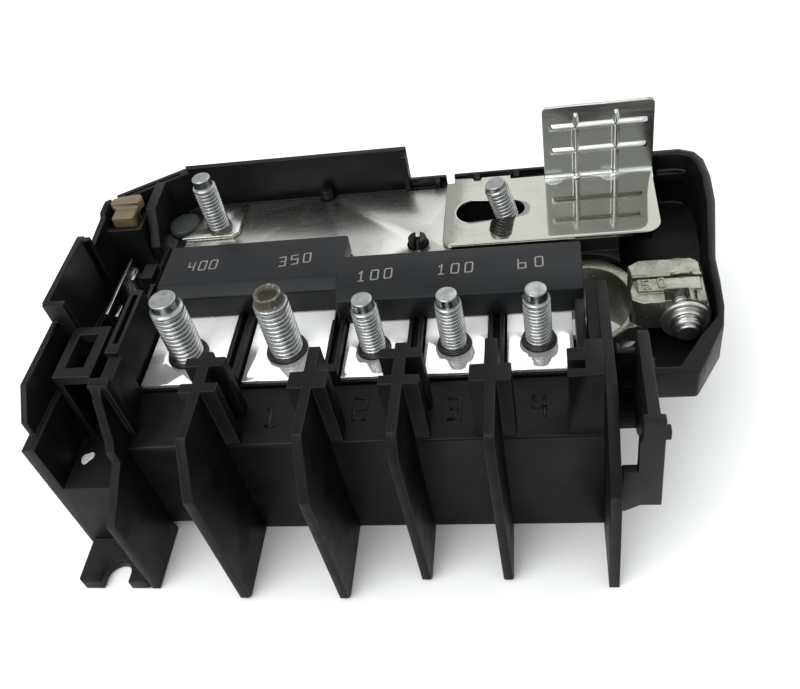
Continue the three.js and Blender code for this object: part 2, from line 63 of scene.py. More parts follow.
bl_info = {
    "name": "Fuse Panel",
    "version": (1, 0, 0),
    "blender": (4, 5, 0),
    "location": "View3D > Sidebar > Fuse Panel",
    "description": "Builds the finished surfaces of a battery fuse panel round its packed frame",
    "category": "Object",
}

MM = 0.001
DATUM = np.array([-0.0938, -0.0212, 0.037])  # first stud's axis at the top of the output tabs


# ---------------------------------------------------------------- shapes


def at(x, y, z):
    """Metres in the frame for millimetres from the datum."""
    return DATUM + MM * np.array([x, y, z], float)


def box(node):
    """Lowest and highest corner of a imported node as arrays, in metres."""
    low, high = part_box(node)
    return np.array(low), np.array(high)


def body_name(node):
    """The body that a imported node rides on."""
    return next(body for body, nodes in frame["record"]["behaviour"]["bodies"].items() if node in nodes)


def new_piece(name, shape, finishes, body, index=None):
    """Puts a shape (points in metres, faces) into an object at the origin that rides on a body.

    The index gives the finish of each face where there is more than one.
    """
    points, faces = shape
    mesh = bpy.data.meshes.new(name)
    mesh.from_pydata(np.asarray(points, float).tolist(), [], faces)
    piece = bpy.data.objects.new(name, mesh)
    bpy.context.scene.collection.objects.link(piece)
    for finish in finishes:
        mesh.materials.append(finish)
    mesh.polygons.foreach_set("use_smooth", np.ones(len(mesh.polygons), bool))
    if index is not None:
        mesh.polygons.foreach_set("material_index", index)
    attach(piece, body)
    return piece


def grid_faces(rows, columns, wrap_rows=False, wrap_columns=False):
    """Quads of a grid of points stored row by row, closed round on itself where wrapped."""
    r = np.arange(rows if wrap_rows else rows - 1)
    c = np.arange(columns if wrap_columns else columns - 1)
    a, b = np.meshgrid(r, c, indexing="ij")
    down, along = (a + 1) % rows, (b + 1) % columns
    quads = [a * columns + b, a * columns + along, down * columns + along, down * columns + b]
    return np.stack(quads, -1).reshape(-1, 4).tolist()


def joined(*shapes):
    """Several shapes as one list of points and one of faces."""
    points, faces, start = [], [], 0
    for part_points, part_faces in shapes:
        points.append(part_points)
        faces += [[start + i for i in face] for face in part_faces]
        start += len(part_points)
    return np.vstack(points), faces


def placed(shape, origin=(0, 0, 0), turn=None):
    """A millimetre shape turned by a 3 by 3 matrix, then put at a millimetre point of the datum's frame."""
    points, faces = shape
    if turn is not None:
        points = points @ np.asarray(turn, float).T
    return points * MM + at(*origin), faces


def smoothstep(low, high, x):
    """0 below low, 1 above high, and 3 t squared less 2 t cubed between them."""
    t = np.clip((x - low) / (high - low), 0, 1)
    return t * t * (3 - 2 * t)


def turned(radius, height, turns):
    """Surface of revolution about Z, with a flat fan at each end.

    The point of row i at angle t is (radius cos t, radius sin t, height); radius is rows by turns.
    """
    angle = 2 * np.pi * np.arange(turns) / turns
    level = np.broadcast_to(np.asarray(height, float)[:, None], radius.shape)
    points = np.stack([radius * np.cos(angle), radius * np.sin(angle), level], -1).reshape(-1, 3)
    rows = radius.shape[0]
    faces = grid_faces(rows, turns, wrap_columns=True)
    first, last = list(range(turns)), [(rows - 1) * turns + i for i in range(turns)]
    return points, faces + [first[::-1], last]


def turned_ring(profile, turns=64):
    """Closed profile of radius and height, anticlockwise, turned about Z."""
    profile = np.asarray(profile, float)
    angle = 2 * np.pi * np.arange(turns) / turns
    x = profile[:, :1] * np.cos(angle)
    y = profile[:, :1] * np.sin(angle)
    z = np.broadcast_to(profile[:, 1:], x.shape)
    points = np.stack([x, y, z], -1).reshape(-1, 3)
    return points, grid_faces(len(profile), turns, wrap_rows=True, wrap_columns=True)


def threaded_rod(radius, length, pitch, neck, point, hollow=0.0, turns=64):
    """Rolled thread with a plain point: millimetres, foot at zero.

    The radius is the outer one less the thread's depth times a rounded V wave of (height / pitch - angle / turn);
    the wave fades out below the neck, where a cone leads to the plain point with a rounded rim.
    A hollow point dips in the middle as a cup.
    """
    shoulder = length - neck
    body = np.arange(0, shoulder, pitch / 14)
    cone = np.array([0.15, 0.5, 0.8, 1.0])
    cone_z = shoulder + cone * neck * 0.28
    cone_r = radius * 0.93 - (radius * 0.93 - point) * np.array([0.25, 0.65, 0.95, 1.0])
    rim = 0.4
    quarter = np.linspace(0, np.pi / 2, 6)
    face = np.array([0.94, 0.86, 0.76, 0.66, 0.5, 0.25, 0.06])
    face_z = length - hollow * smoothstep(0.96, 0.66, face)
    z = np.concatenate([body, cone_z, [length - rim - 0.3], length - rim + rim * np.sin(quarter), face_z])
    outer = [np.full(len(body), radius), cone_r, [point], point - rim + rim * np.cos(quarter), (point - rim) * face]
    r = np.concatenate(outer)
    angle = 2 * np.pi * np.arange(turns) / turns
    wave = smoothstep(0.08, 0.92, np.abs(2 * ((z[:, None] / pitch - angle / (2 * np.pi)) % 1.0) - 1))
    fade = 1 - smoothstep(shoulder - 0.9 * pitch, shoulder, z)
    return turned(r[:, None] - 0.56 * pitch * wave * fade[:, None], z, turns)


def slab(outline, low, high, edge, steps=4):
    """Flat plate from an anticlockwise outline.

    Its rings draw in by edge (1 - sin t) from the foot up, and by edge (1 - cos t) towards the top,
    which rounds both.
    """
    outline = np.asarray(outline, float)
    ahead = np.roll(outline, -1, 0) - outline
    ahead /= np.linalg.norm(ahead, axis=1)[:, None]
    behind = np.roll(ahead, 1, 0)
    inward = np.stack([-ahead[:, 1] - behind[:, 1], ahead[:, 0] + behind[:, 0]], -1)
    inward /= (1 + (ahead * behind).sum(1))[:, None]
    t = np.linspace(0, np.pi / 2, steps + 1)
    draw = np.concatenate([edge * (1 - np.sin(t)), edge * (1 - np.cos(t))])
    level = np.concatenate([low + edge * (1 - np.cos(t)), high - edge + edge * np.sin(t)])
    ring = outline[None] + draw[:, None, None] * inward[None]
    height = np.broadcast_to(level[:, None, None], (*ring.shape[:2], 1))
    points = np.concatenate([ring, height], -1).reshape(-1, 3)
    n, rows = len(outline), len(level)
    faces = grid_faces(rows, n, wrap_columns=True)
    return points, faces + [list(range(n))[::-1], [(rows - 1) * n + i for i in range(n)]]


def ribbon(path, width, height, closed):
    """Low rounded bar along a flat path: the section (across, up) is carried along the mitred normals."""
    path = np.asarray(path, float)
    ahead = np.roll(path, -1, 0) - path
    behind = np.roll(ahead, 1, 0)
    if not closed:
        ahead[-1], behind[0] = behind[-1], ahead[0]
    ahead /= np.linalg.norm(ahead, axis=1)[:, None]
    behind /= np.linalg.norm(behind, axis=1)[:, None]
    normal = np.stack([-ahead[:, 1] - behind[:, 1], ahead[:, 0] + behind[:, 0]], -1)
    normal /= (1 + (ahead * behind).sum(1))[:, None]
    across = width * np.array([0.5, 0.5, 0.36, -0.36, -0.5, -0.5])
    up = height * np.array([-0.5, 0.6, 1.0, 1.0, 0.6, -0.5])
    flat = path[:, None] + across[None, :, None] * normal[:, None]
    points = np.concatenate([flat, np.broadcast_to(up[None, :, None], (*flat.shape[:2], 1))], -1).reshape(-1, 3)
    n = len(across)
    faces = grid_faces(len(path), n, wrap_rows=closed, wrap_columns=True)
    if not closed:
        last = (len(path) - 1) * n
        faces += [list(range(n))[::-1], [last + i for i in range(n)]]
    return points, [face[::-1] for face in faces]


# Strokes of each digit in a box one unit wide and one high; True where the stroke closes on itself.
DIGITS = {
    "0": [([(0, 0.1), (0.1, 0), (0.9, 0), (1, 0.1), (1, 0.9), (0.9, 1), (0.1, 1), (0, 0.9)], True)],
    "1": [([(0.12, 0.8), (0.5, 1), (0.5, 0)], False), ([(0.1, 0), (0.95, 0)], False)],
    "2": [([(0, 1), (1, 1), (1, 0.5), (0, 0.5), (0, 0), (1, 0)], False)],
    "3": [([(0, 1), (1, 1), (1, 0), (0, 0)], False), ([(0.2, 0.5), (0.95, 0.5)], False)],
    "4": [([(0, 1), (0, 0.45), (1, 0.45)], False), ([(0.85, 1), (0.85, 0)], False)],
    "5": [([(1, 1), (0, 1), (0, 0.55), (1, 0.55), (1, 0), (0, 0)], False)],
    "6": [([(0, 1), (0, 0), (1, 0), (1, 0.55), (0.05, 0.55)], False)],
}


def number(text, length, height, stroke, raised, slant=0.0):
    """A row of stroke digits from the origin along X, raised along Z, its whole row length long."""
    width = min(0.52 * height, length)
    step = (length - width) / max(len(text) - 1, 1)
    strokes = []
    for place, digit in enumerate(text):
        for path, closed in DIGITS[digit]:
            path = np.array(path, float) * [width, height]
            path[:, 0] += place * step + slant * path[:, 1]
            strokes.append(ribbon(path, stroke, raised, closed))
    return joined(*strokes)


def plane_turn(along, slope=0.0):
    """Axes of a numeral: X along a flat direction, Y up a slope that rises by slope a millimetre."""
    x = np.array([along[0], along[1], 0.0])
    x /= np.linalg.norm(x)
    y = np.array([-x[1], x[0], slope])
    y /= np.linalg.norm(y)
    return np.stack([x, y, np.cross(x, y)], -1)


def reach(corners, centre, angle):
    """Distance from a centre to a closed outline in each direction."""
    corners = np.asarray(corners, float)
    t = np.linspace(0, 1, 60, endpoint=False)[:, None]
    line = (corners[:, None] * (1 - t) + np.roll(corners, -1, 0)[:, None] * t).reshape(-1, 2) - centre
    turn = np.unwrap(np.arctan2(line[:, 1], line[:, 0]))
    order = np.argsort(turn)
    far = np.hypot(line[:, 0], line[:, 1])
    return np.interp(angle, turn[order], far[order], period=2 * np.pi)


def arc(x, y, radius, start, end, steps=10):
    """Points of a circular arc, angles in turns of pi."""
    t = np.pi * np.linspace(start, end, steps)
    return np.stack([x + radius * np.cos(t), y + radius * np.sin(t)], -1).tolist()


def pierced_plate(outline, slot, centre, low, high, edge):
    """Plate with a slot: across goes from the slot's edge to the outline, round it, back below and up the slot.

    The point at angle t and share s lies at centre + ((1 - s) slot reach + s outline reach) in direction t.
    """
    corners = np.asarray(outline, float) - centre
    angle = np.sort(np.concatenate([np.linspace(-np.pi, np.pi, 260, endpoint=False),
                                    np.arctan2(corners[:, 1], corners[:, 0])]))
    inner, outer = reach(slot, centre, angle), reach(outline, centre, angle)
    t = np.linspace(0, np.pi / 2, 4)
    share = np.linspace(0, 1, 12)
    top = [(s, edge * (1 - 2 * s), high) for s in share]
    rim = [(1, -edge * (1 - np.sin(a)), high - edge * (1 - np.cos(a))) for a in t[1:]]
    under = [(1, -edge * (1 - np.cos(a)), low + edge * (1 - np.sin(a))) for a in t]
    bottom = [(s, edge * (1 - 2 * s), low) for s in share[::-1][1:]]
    inside = [(0, edge * (1 - np.sin(a)), low + edge * (1 - np.cos(a))) for a in t[1:]]
    lip = [(0, edge * (1 - np.cos(a)), high - edge * (1 - np.sin(a))) for a in t[:-1]]
    s, shift, z = np.array(top + rim + under + bottom + inside + lip).T
    distance = inner * (1 - s[:, None]) + outer * s[:, None] + shift[:, None]
    x, y = centre[0] + distance * np.cos(angle), centre[1] + distance * np.sin(angle)
    points = np.stack([x, y, np.broadcast_to(z[:, None], x.shape)], -1).reshape(-1, 3)
    return points, grid_faces(len(s), len(angle), wrap_rows=True, wrap_columns=True)


def softened(node, finishes, radius, segments=2, angle=32.0):
    """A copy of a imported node: facets merged into convex faces, and its sharp edges rounded by a bevel."""
    shape = bmesh.new()
    shape.from_mesh(frame["nodes"][node].data)
    bmesh.ops.remove_doubles(shape, verts=shape.verts, dist=2e-6)
    bmesh.ops.dissolve_limit(shape, angle_limit=math.radians(0.6), verts=shape.verts, edges=shape.edges)
    bmesh.ops.connect_verts_concave(shape, faces=shape.faces)
    mesh = bpy.data.meshes.new(node + "_finished")
    shape.to_mesh(mesh)
    shape.free()
    piece = bpy.data.objects.new(node + "_finished", mesh)
    bpy.context.scene.collection.objects.link(piece)
    mesh.materials.clear()
    for finish in finishes:
        mesh.materials.append(finish)
    mesh.polygons.foreach_set("material_index", np.zeros(len(mesh.polygons), int))
    mesh.polygons.foreach_set("use_smooth", np.ones(len(mesh.polygons), bool))
    bevel = piece.modifiers.new("rounded edges", "BEVEL")
    bevel.width = radius * MM
    bevel.segments = segments
    bevel.limit_method = "ANGLE"
    bevel.angle_limit = math.radians(angle)
    bevel.use_clamp_overlap = False
    bevel.loop_slide = False
    bevel.harden_normals = True
    bevel.material = len(finishes) - 1
    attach(piece, body_name(node))
    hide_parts(node)
    return piece


# ---------------------------------------------------------------- finishes


class Value:
    """A shader value: sums, differences and products of it add Math nodes."""

    def __init__(self, finish, socket):
        self.finish, self.socket = finish, socket

    def _math(self, operation, a, b):
        return self.finish.node("ShaderNodeMath", {"operation": operation}, {0: a, 1: b})

    def __add__(self, other):
        return self._math("ADD", self, other)

    __radd__ = __add__

    def __sub__(self, other):
        return self._math("SUBTRACT", self, other)

    def __rsub__(self, other):
        return self._math("SUBTRACT", other, self)

    def __mul__(self, other):
        return self._math("MULTIPLY", self, other)

    __rmul__ = __mul__

    def ramp(self, low, high, to_low=0.0, to_high=1.0):
        """Smooth change from to_low below low to to_high above high."""
        return self.finish.node(
            "ShaderNodeMapRange",
            {"interpolation_type": "SMOOTHSTEP"},
            {"Value": self, "From Min": low, "From Max": high, "To Min": to_low, "To Max": to_high},
        )


class Finish:
    """One material: a Principled shader, and the nodes that vary it over the surface."""

    def __init__(self, name, **constants):
        self.material = bpy.data.materials.new(name)
        self.material.use_nodes = True
        self.tree = self.material.node_tree
        self.shader = next(n for n in self.tree.nodes if n.type == "BSDF_PRINCIPLED")
        for socket, value in constants.items():
            self.shader.inputs[socket.replace("_", " ")].default_value = value
        self.place = self.node("ShaderNodeTexCoord", out="Object")

    def node(self, kind, settings=None, inputs=None, out=0):
        """A node of a type: its settings first, then values or links for its sockets."""
        made = self.tree.nodes.new(kind)
        for name, value in (settings or {}).items():
            setattr(made, name, value)
        for name, value in (inputs or {}).items():
            self.feed(made.inputs[name], value)
        return Value(self, made.outputs[out])

    def feed(self, socket, value):
        """Links a shader value to a socket, or sets a plain one on it."""
        if isinstance(value, Value):
            self.tree.links.new(value.socket, socket)
        else:
            socket.default_value = value

    def noise(self, size, detail=3.0, roughness=0.5, stretch=(1, 1, 1), distortion=0.0):
        """Cloudy noise between 0 and 1 whose features are about size millimetres across."""
        where = self.place
        if stretch != (1, 1, 1):
            where = self.node("ShaderNodeMapping", {}, {"Vector": self.place, "Scale": stretch})
        return self.node(
            "ShaderNodeTexNoise",
            {},
            {
                "Vector": where,
                "Scale": 1 / (size * MM),
                "Detail": detail,
                "Roughness": roughness,
                "Distortion": distortion,
            },
        )

    def cells(self, size):
        """Distance to the nearest of scattered points about size millimetres apart."""
        density = 1 / (size * MM)
        return self.node("ShaderNodeTexVoronoi", {"feature": "F1"}, {"Vector": self.place, "Scale": density})

    def mix(self, amount, first, second):
        """Colour between two colours."""
        made = self.tree.nodes.new("ShaderNodeMix")
        made.data_type = "RGBA"
        self.feed(made.inputs[0], amount)
        for socket, colour in ((made.inputs[6], first), (made.inputs[7], second)):
            self.feed(socket, colour if isinstance(colour, Value) else (*colour, 1.0))
        return Value(self, made.outputs[2])

    def set(self, **sockets):
        """Feeds the shader's varying sockets."""
        for name, value in sockets.items():
            if isinstance(value, tuple):
                value = (*value, 1.0)
            self.feed(self.shader.inputs[name.replace("_", " ")], value)

    def bump(self, height, depth):
        """Bump of a height between 0 and 1 that is depth millimetres deep."""
        normal = self.node("ShaderNodeBump", {}, {"Height": height, "Distance": depth * MM, "Strength": 1.0})
        self.feed(self.shader.inputs["Normal"], normal)


def black_plastic(name, base, roughness, grain, dust=0.35, painted_light_scale=1.0):
    """Glass-filled moulded plastic: fine spark grain, a thin uneven film of dust and faint flow streaks."""
    # This factor scales colour and specular: below 1 it paints shade onto the piece, above 1 it paints a highlight.
    f = Finish(name, Specular_IOR_Level=0.06 + 0.12 * painted_light_scale)
    cloud = f.noise(9, 4, 0.6)
    flow = f.noise(3.5, 3, 0.55, stretch=(0.35, 1, 1.4), distortion=0.6)
    specks = f.cells(1.7).ramp(0.05, 0.13, 1.0, 0.0) * f.noise(14, 2).ramp(0.5, 0.72)
    deep = tuple(painted_light_scale * c * 0.75 for c in base)
    worn = tuple(painted_light_scale * (c * 1.6 + 0.0012) for c in base)
    dusty = tuple(painted_light_scale * (c * 2.6 + 0.006) for c in base)
    colour = f.mix(cloud.ramp(0.3, 0.75) * 0.6 + flow.ramp(0.4, 0.8) * 0.3, deep, worn)
    colour = f.mix(specks * dust + cloud.ramp(0.6, 0.9) * dust * 0.25, colour, dusty)
    rough = cloud.ramp(0.25, 0.8, roughness - 0.08, roughness + 0.1) + flow.ramp(0.35, 0.75, 0.0, 0.06)
    f.set(Base_Color=colour, Roughness=rough)
    f.bump(f.noise(0.3, 2, 0.6) * 0.6 + f.cells(0.6) * 0.4 + flow * 0.5, grain)
    return f.material


def slate_plastic(name, base, gloss=0.42):
    """Slate grey moulding, a little glossier, with pale rubbed patches."""
    f = Finish(name, Specular_IOR_Level=0.165)
    cloud = f.noise(7, 4, 0.6)
    streak = f.noise(2.2, 3, 0.6, stretch=(0.5, 1.6, 1.6))
    rub = streak.ramp(0.55, 0.82) * cloud.ramp(0.4, 0.7)
    colour = f.mix(cloud.ramp(0.3, 0.7), tuple(0.85 * c for c in base), tuple(1.2 * c for c in base))
    colour = f.mix(rub * 0.4, colour, tuple(1.8 * c + 0.004 for c in base))
    f.set(Base_Color=colour, Roughness=cloud.ramp(0.3, 0.8, gloss - 0.06, gloss + 0.08) + rub * 0.1)
    f.bump(f.noise(0.35, 2) * 0.6 + streak * 0.5, 0.01)
    return f.material


def tin(name, base, gloss, stain=0.5):
    """Tin plate: soft mirror with hair scratches, handling smears and faint dull stains."""
    f = Finish(name, Metallic=1.0)
    smear = f.noise(6, 4, 0.6, distortion=0.8)
    hair = f.noise(0.5, 2, 0.5, stretch=(0.06, 1.2, 1))
    cross = f.noise(0.7, 2, 0.5, stretch=(1.2, 0.08, 1))
    stains = smear.ramp(0.5, 0.76) * stain
    pits = f.cells(2.3).ramp(0.03, 0.1, 1.0, 0.0) * smear.ramp(0.45, 0.6)
    dull = tuple(c * s for c, s in zip(base, (0.78, 0.77, 0.72)))
    colour = f.mix(stains + pits * 0.4 + hair.ramp(0.55, 0.75) * 0.2, base, dull)
    rough = hair.ramp(0.5, 0.75, gloss, gloss + 0.07) + stains * 0.12 + cross.ramp(0.6, 0.8) * 0.05 + pits * 0.15
    f.set(Base_Color=colour, Roughness=rough)
    f.bump(smear * 0.5 + hair * 0.08 + pits * -0.3, 0.02)
    return f.material


def tab_tin(name, base, satin_from, satin_to):
    """Tab's tin: polished round the stud, and a bright satin band from satin_from to satin_to towards the fuse."""
    f = Finish(name)
    depth = f.node("ShaderNodeSeparateXYZ", {}, {"Vector": f.place}, out=1)
    satin = depth.ramp(satin_from, satin_to)
    smear = f.noise(4, 3, 0.6, distortion=0.5)
    hair = f.noise(0.4, 2, 0.5, stretch=(1.2, 0.08, 1))
    colour = f.mix(smear.ramp(0.5, 0.8) * 0.3, base, tuple(0.97 * c for c in base))
    f.set(
        Base_Color=colour,
        Metallic=0.8 - satin * 0.7,
        Roughness=satin * 0.3 + smear.ramp(0.4, 0.8, 0.05, 0.1) + hair.ramp(0.55, 0.8) * 0.03,
    )
    f.bump(smear * 0.3 + hair * 0.1, 0.006)
    return f.material


def cast_metal(name, base):
    """Tin-plated casting: sandy skin, soft pits and darker hollows."""
    f = Finish(name, Metallic=0.95)
    sand = f.noise(0.6, 3, 0.65)
    cloud = f.noise(4, 4, 0.6)
    pits = f.cells(1.3).ramp(0.06, 0.22, 1.0, 0.0) * cloud.ramp(0.4, 0.6)
    dark = tuple(c * s for c, s in zip(base, (0.55, 0.55, 0.48)))
    colour = f.mix(cloud.ramp(0.35, 0.7) * 0.75 + pits * 0.3, base, dark)
    f.set(Base_Color=colour, Roughness=cloud.ramp(0.3, 0.75, 0.22, 0.4) + sand * 0.08)
    f.bump(sand * 0.7 + pits * -0.6 + cloud * 2.0, 0.12)
    return f.material


def zinc(name, base, rough=0.26):
    """Zinc-plated steel: soft satin with a slightly cloudy passivated film."""
    f = Finish(name, Metallic=1.0)
    cloud = f.noise(2.0, 4, 0.6)
    fine = f.noise(0.25, 2, 0.6)
    dark = tuple(c * 0.55 for c in base)
    colour = f.mix(cloud.ramp(0.35, 0.72) * 0.75, base, dark)
    f.set(Base_Color=colour, Roughness=cloud.ramp(0.3, 0.75, rough - 0.05, rough + 0.12) + fine * 0.06)
    f.bump(fine * 0.6 + cloud * 0.6, 0.035)
    return f.material


def rust(name, base, brown, share):
    """Steel with brown surface rust over a share of it."""
    f = Finish(name, Metallic=0.55)
    cloud = f.noise(0.9, 4, 0.65)
    colour = f.mix(cloud.ramp(0.62 - 0.5 * share, 0.82 - 0.5 * share), base, brown)
    f.set(Base_Color=colour, Roughness=cloud.ramp(0.3, 0.7, 0.38, 0.7))
    f.bump(f.noise(0.3, 3) * 0.8 + cloud * 0.5, 0.06)
    return f.material


def nylon(name, base, dark_to, pale_from):
    """Tan nylon: waxy, slightly translucent, with painted shade low down and darker in clouds."""
    f = Finish(name, Specular_IOR_Level=0.4, Subsurface_Weight=0.2)
    f.shader.inputs["Subsurface Radius"].default_value = (0.002, 0.0012, 0.0008)
    cloud = f.noise(2.6, 4, 0.6)
    # Painted shade: the nylon darkens below pale_from down to dark_to, mixed with darker clouds.
    fall = f.node("ShaderNodeSeparateXYZ", {}, {"Vector": f.place}, out=2)
    shade = fall.ramp(dark_to, pale_from, 1.0, 0.0) * 0.75 + cloud.ramp(0.35, 0.7) * 0.25
    colour = f.mix(shade, base, tuple(c * s for c, s in zip(base, (0.42, 0.36, 0.3))))
    f.set(Base_Color=colour, Roughness=cloud.ramp(0.3, 0.7, 0.35, 0.55))
    f.bump(f.noise(0.4, 3) * 0.7 + cloud * 0.4, 0.05)
    return f.material


def ink(name, colour):
    """Thin print or paint that lets a little of the moulding through."""
    f = Finish(name, Specular_IOR_Level=0.2)
    patchy = f.noise(0.5, 3, 0.7)
    f.set(
        Base_Color=f.mix(patchy.ramp(0.3, 0.6), tuple(c * 0.6 for c in colour), colour),
        Roughness=patchy.ramp(0.3, 0.7, 0.5, 0.65),
    )
    f.bump(patchy, 0.01)
    return f.material


def floor_finish(name, colour):
    """Matte paper sweep with a very faint fibre."""
    f = Finish(name, Specular_IOR_Level=0.1)
    fibre = f.noise(30, 3)
    f.set(Base_Color=f.mix(fibre, colour, tuple(0.985 * c for c in colour)), Roughness=0.95)
    return f.material


# ---------------------------------------------------------------- settings


class FusePanelStage(bpy.types.PropertyGroup):
    """Camera, floor and light."""

    camera_place: bpy.props.FloatVectorProperty(
        name="Camera place", description="Where the camera stands", default=(-0.0077, -0.1464, 0.1771),
        subtype="TRANSLATION", unit="LENGTH", precision=4,
    )
    camera_tilt: bpy.props.FloatProperty(
        name="Tilt", description="How far the camera looks down", default=math.radians(45.4), subtype="ANGLE",
    )
    camera_pan: bpy.props.FloatProperty(
        name="Pan", description="How far the camera turns from +Y towards +X", default=math.radians(-14.7),
        subtype="ANGLE",
    )
    camera_roll: bpy.props.FloatProperty(
        name="Roll", description="How far the camera leans to its right", default=math.radians(13.4),
        subtype="ANGLE",
    )
    focal_length: bpy.props.FloatProperty(
        name="Focal length", description="Lens, on a 36 mm wide sensor, in millimetres", default=39.06,
    )
    floor_colour: bpy.props.FloatVectorProperty(
        name="Floor", description="Colour of the floor", default=(0.9, 0.9, 0.9), subtype="COLOR",
    )
    surround: bpy.props.FloatProperty(
        name="Surround", description="Brightness of the white surround", default=1.05,
    )
    key_power: bpy.props.FloatProperty(
        name="Key light", description="Power of the large light above the front", default=6.0, unit="POWER",
    )


class FusePanelMouldings(bpy.types.PropertyGroup):
    """Black and grey mouldings."""

    edge: bpy.props.FloatProperty(
        name="Edge radius", description="Rounding of moulded edges, in millimetres", default=0.26,
    )
    black: bpy.props.FloatVectorProperty(
        name="Black", description="Colour of the carrier", default=(0.003, 0.0031, 0.0032), subtype="COLOR",
    )
    slate: bpy.props.FloatVectorProperty(
        name="Slate", description="Colour of the fuse body", default=(0.0078, 0.0091, 0.01), subtype="COLOR",
    )
    grain: bpy.props.FloatProperty(
        name="Grain", description="Depth of the moulded grain, in millimetres", default=0.015,
    )
    plug: bpy.props.FloatVectorProperty(
        name="Plug", description="Colour of the corner plug", default=(0.128, 0.096, 0.053), subtype="COLOR",
    )


class FusePanelMetals(bpy.types.PropertyGroup):
    """Plated strips, studs and the casting."""

    busbar: bpy.props.FloatVectorProperty(
        name="Busbar", description="Colour of the busbar's tin", default=(0.47, 0.47, 0.44), subtype="COLOR",
    )
    plate: bpy.props.FloatVectorProperty(
        name="Cable plate", description="Colour of the cable plate's tin", default=(0.3, 0.3, 0.27),
        subtype="COLOR",
    )
    shield: bpy.props.FloatVectorProperty(
        name="Shield", description="Colour of the ribbed shield's tin", default=(0.53, 0.545, 0.53),
        subtype="COLOR",
    )
    tab: bpy.props.FloatVectorProperty(
        name="Tabs", description="Colour of the output tabs' tin", default=(0.98, 0.98, 0.97), subtype="COLOR",
    )
    cast: bpy.props.FloatVectorProperty(
        name="Casting", description="Colour of the clamp", default=(0.27, 0.27, 0.232), subtype="COLOR",
    )
    bolt: bpy.props.FloatVectorProperty(
        name="Bolt", description="Colour of the pinch bolt and nut", default=(0.5, 0.5, 0.48), subtype="COLOR",
    )
    zinc: bpy.props.FloatVectorProperty(
        name="Zinc", description="Colour of the studs", default=(0.34, 0.35, 0.345), subtype="COLOR",
    )
    slot_stud_lean: bpy.props.FloatProperty(
        name="Lean", description="How far the loose stud leans to the left", default=math.radians(13),
        subtype="ANGLE",
    )
    large_pitch: bpy.props.FloatProperty(
        name="Large pitch", description="Thread pitch of the 8 mm studs, in millimetres", default=1.25,
    )
    small_pitch: bpy.props.FloatProperty(
        name="Small pitch", description="Thread pitch of the 6 mm studs, in millimetres", default=1.0,
    )


class FusePanelPrint(bpy.types.PropertyGroup):
    """Printed ratings."""

    digit_height: bpy.props.FloatProperty(
        name="Digit height", description="Height of the printed digits, in millimetres", default=3.2,
    )
    stroke: bpy.props.FloatProperty(
        name="Stroke", description="Width of the printed strokes, in millimetres", default=0.36,
    )
    ink: bpy.props.FloatVectorProperty(
        name="Ink", description="Colour of the print", default=(0.2, 0.2, 0.19), subtype="COLOR",
    )


# ---------------------------------------------------------------- pieces

# Rows of the fuse's printed ratings: digits, lower left and lower right corner on its top.
RATINGS = [
    ("400", (-2.7, 28.7), (4.5, 29.1)),
    ("350", (20.8, 28.2), (28.6, 29.3)),
    ("100", (41.2, 21.05), (49.2, 21.7)),
    ("100", (59.9, 21.7), (67.9, 21.95)),
    ("60", (78.3, 22.0), (83.8, 22.4)),
]
FUSE_TOP = 8.6
# Way numbers raised on the sloping apron: digits and lower left corner.
WAYS = [("1", (21.6, -11.2)), ("2", (41.8, -10.2)), ("3", (62.4, -11)), ("4", (80.6, -11))]
APRON_EDGE = (-1.2, -1.8)  # Y and Z where the apron begins, in millimetres
APRON_SLOPE = 2.2 / 14.4
PAINT_PLACE = (-24.2, -12, -12.2)
CAP_RISE = 1.3  # how far the rear cap stands above its packed disc
# The plug's darker foot below these heights is painted shade.
PLUG_FADE = (0.0445, 0.0515)  # heights in metres between which the plug's nylon pales
PINCH_AXIS = {"x": 113.6, "z": 0}


def black_finishes(m):
    """The carrier's surface and its edges: lightly rubbed, and painted a little lighter as a painted highlight."""
    surface = black_plastic("carrier black", tuple(m.black), 0.48, m.grain)
    # Painted highlight, partly real rubbing: the rounded edges take a lighter, glossier copy of the carrier black.
    edge = black_plastic("carrier black edge", tuple(m.black), 0.4, m.grain * 0.5, dust=0.2, painted_light_scale=1.1)
    return [surface, edge]


